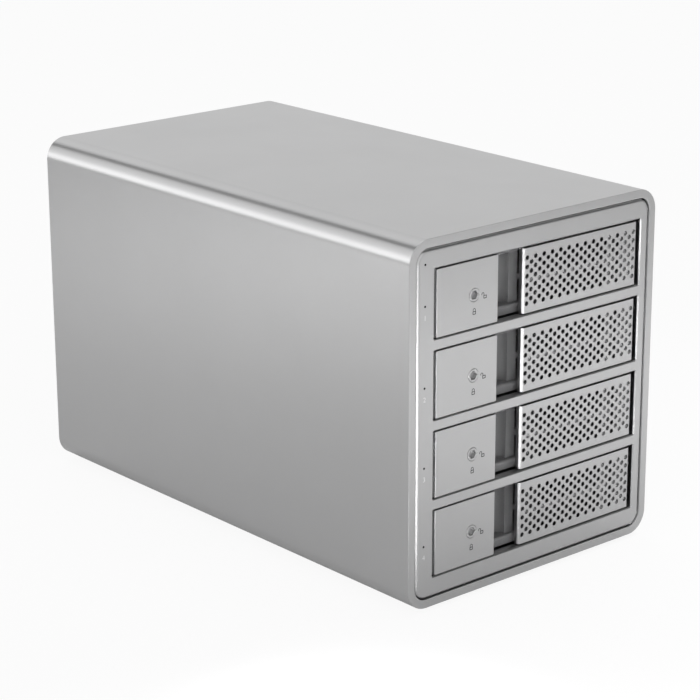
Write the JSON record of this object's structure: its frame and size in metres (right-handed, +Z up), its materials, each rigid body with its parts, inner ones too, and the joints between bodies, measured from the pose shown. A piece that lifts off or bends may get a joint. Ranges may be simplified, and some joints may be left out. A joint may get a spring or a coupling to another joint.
{
  "type": "hard drive enclosure",
  "caption": "Silver desktop enclosure with key-locked sliding drive trays, perforated hinged pull handles and a rear fan.",
  "frame": {"origin": "on the desk, under the middle of the body", "axes": "+Z up; the front with the trays faces -Y; +X is to the right of someone looking at the front"},
  "size_m": [0.134, 0.237, 0.15],
  "materials": {
    "silver_anodised": "fine sand-blasted, silver anodised",
    "plain_aluminium": "plain extruded",
    "black_moulding": "fine matt texture",
    "connector_black": "smooth matt",
    "clear_pipe": "clear polished",
    "circuit_board": "green solder mask",
    "zinc_steel": "zinc plated",
    "black_painted_steel": "fine matt powder coat",
    "black_screw": "black zinc",
    "dark_rubber": "matt"
  },
  "bodies": {
    "enclosure": {"outer_sleeve": "silver_anodised", "front_frame": "silver_anodised", "light_pipes": "clear_pipe", "indicator_board": "circuit_board", "rubber_feet": "dark_rubber", "cage_wall_left": "black_moulding", "cage_wall_right": "black_moulding", "cage_top_plate": "zinc_steel", "cage_bottom_plate": "zinc_steel", "cage_screws": "zinc_steel", "frame_screws": "zinc_steel", "socket_board": "circuit_board", "socket_board_screws": "zinc_steel", "bridge_board": "circuit_board", "bridge_fixings": "zinc_steel", "board_header": "connector_black", "bridge_chip": "connector_black", "heat_sink": "plain_aluminium", "usb_port": "zinc_steel", "power_inlet": "connector_black", "rear_panel": "black_painted_steel", "rear_panel_screws": "black_screw", "fan_frame": "connector_black", "fan_screws": "black_screw", "switch_housing": "connector_black", "drive_socket_1": "connector_black", "drive_socket_2": "connector_black", "drive_socket_3": "connector_black", "drive_socket_4": "connector_black"},
    "fan_blades": {"fan_rotor": "connector_black"},
    "switch_rocker": {"power_rocker": "connector_black"},
    "tray_1": {"tray_1_sled": "black_moulding", "tray_1_lock_plate": "silver_anodised", "tray_1_hinge_pin": "zinc_steel"},
    "handle_1": {"tray_1_handle_grille": "silver_anodised", "tray_1_handle_arm": "black_moulding"},
    "lock_1": {"tray_1_lock_core": "silver_anodised", "tray_1_lock_cam": "zinc_steel"},
    "tray_2": {"tray_2_sled": "black_moulding", "tray_2_lock_plate": "silver_anodised", "tray_2_hinge_pin": "zinc_steel"},
    "handle_2": {"tray_2_handle_grille": "silver_anodised", "tray_2_handle_arm": "black_moulding"},
    "lock_2": {"tray_2_lock_core": "silver_anodised", "tray_2_lock_cam": "zinc_steel"},
    "tray_3": {"tray_3_sled": "black_moulding", "tray_3_lock_plate": "silver_anodised", "tray_3_hinge_pin": "zinc_steel"},
    "handle_3": {"tray_3_handle_grille": "silver_anodised", "tray_3_handle_arm": "black_moulding"},
    "lock_3": {"tray_3_lock_core": "silver_anodised", "tray_3_lock_cam": "zinc_steel"},
    "tray_4": {"tray_4_sled": "black_moulding", "tray_4_lock_plate": "silver_anodised", "tray_4_hinge_pin": "zinc_steel"},
    "handle_4": {"tray_4_handle_grille": "silver_anodised", "tray_4_handle_arm": "black_moulding"},
    "lock_4": {"tray_4_lock_core": "silver_anodised", "tray_4_lock_cam": "zinc_steel"}
  },
  "joints": [
    {"name": "tray_1_slide", "type": "slide", "parent": "enclosure", "child": "tray_1", "axis": [0, -1, 0], "range_m": [0, 0.175]},
    {"name": "handle_1_hinge", "type": "hinge", "parent": "tray_1", "child": "handle_1", "pos_m": [0.0515, -0.1145, 0.12415], "axis": [0, 0, 1], "range_deg": [0, 85]},
    {"name": "lock_1_turn", "type": "hinge", "parent": "tray_1", "child": "lock_1", "pos_m": [-0.0336, -0.1145, 0.12385], "axis": [0, 1, 0], "range_deg": [0, 90]},
    {"name": "tray_2_slide", "type": "slide", "parent": "enclosure", "child": "tray_2", "axis": [0, -1, 0], "range_m": [0, 0.175]},
    {"name": "handle_2_hinge", "type": "hinge", "parent": "tray_2", "child": "handle_2", "pos_m": [0.0515, -0.1145, 0.09205], "axis": [0, 0, 1], "range_deg": [0, 85]},
    {"name": "lock_2_turn", "type": "hinge", "parent": "tray_2", "child": "lock_2", "pos_m": [-0.0336, -0.1145, 0.09175], "axis": [0, 1, 0], "range_deg": [0, 90]},
    {"name": "tray_3_slide", "type": "slide", "parent": "enclosure", "child": "tray_3", "axis": [0, -1, 0], "range_m": [0, 0.175]},
    {"name": "handle_3_hinge", "type": "hinge", "parent": "tray_3", "child": "handle_3", "pos_m": [0.0515, -0.1145, 0.05995], "axis": [0, 0, 1], "range_deg": [0, 85]},
    {"name": "lock_3_turn", "type": "hinge", "parent": "tray_3", "child": "lock_3", "pos_m": [-0.0336, -0.1145, 0.05965], "axis": [0, 1, 0], "range_deg": [0, 90]},
    {"name": "tray_4_slide", "type": "slide", "parent": "enclosure", "child": "tray_4", "axis": [0, -1, 0], "range_m": [0, 0.175]},
    {"name": "handle_4_hinge", "type": "hinge", "parent": "tray_4", "child": "handle_4", "pos_m": [0.0515, -0.1145, 0.02785], "axis": [0, 0, 1], "range_deg": [0, 85]},
    {"name": "lock_4_turn", "type": "hinge", "parent": "tray_4", "child": "lock_4", "pos_m": [-0.0336, -0.1145, 0.02755], "axis": [0, 1, 0], "range_deg": [0, 90]},
    {"name": "fan_spin", "type": "hinge", "parent": "enclosure", "child": "fan_blades", "pos_m": [0, 0.105, 0.0985], "axis": [0, 1, 0], "continuous": true},
    {"name": "power_rocker_tilt", "type": "hinge", "parent": "enclosure", "child": "switch_rocker", "pos_m": [0.036, 0.1134, 0.0315], "axis": [0, 0, -1], "range_deg": [0, 18]}
  ]
}
